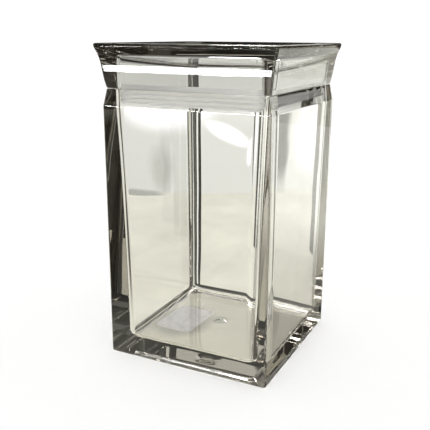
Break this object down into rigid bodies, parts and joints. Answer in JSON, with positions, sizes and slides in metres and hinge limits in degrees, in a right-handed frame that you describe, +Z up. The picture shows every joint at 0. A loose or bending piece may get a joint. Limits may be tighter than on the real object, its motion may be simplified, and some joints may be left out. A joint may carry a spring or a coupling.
{
  "type": "lidded glass canister",
  "caption": "Tall square clear glass storage canister with chamfered shoulders, a flared square glass lid that lifts off, and a clear silicone seal ring under the lid.",
  "frame": {"origin": "middle of the base, on the surface the canister stands on", "axes": "+Z up along the canister's height, +X to the right and -Y to the front; the square sides face +X, -X, +Y and -Y"},
  "size_m": [0.108, 0.108, 0.1845],
  "materials": {
    "body_glass": "clear pressed glass, polished, faint grey-green tint",
    "lid_glass": "clear pressed glass, polished, faint grey-green tint",
    "clear_silicone": "translucent silicone, satin",
    "label_paper": "blank adhesive paper label, matt"
  },
  "bodies": {
    "canister": {"canister_body": "body_glass", "base_label": "label_paper"},
    "lid": {"lid": "lid_glass", "seal_ring": "clear_silicone"}
  },
  "joints": [
    {"name": "lid_lift", "type": "slide", "parent": "canister", "child": "lid", "axis": [0, 0, 1], "range_m": [0, 0.06]}
  ]
}
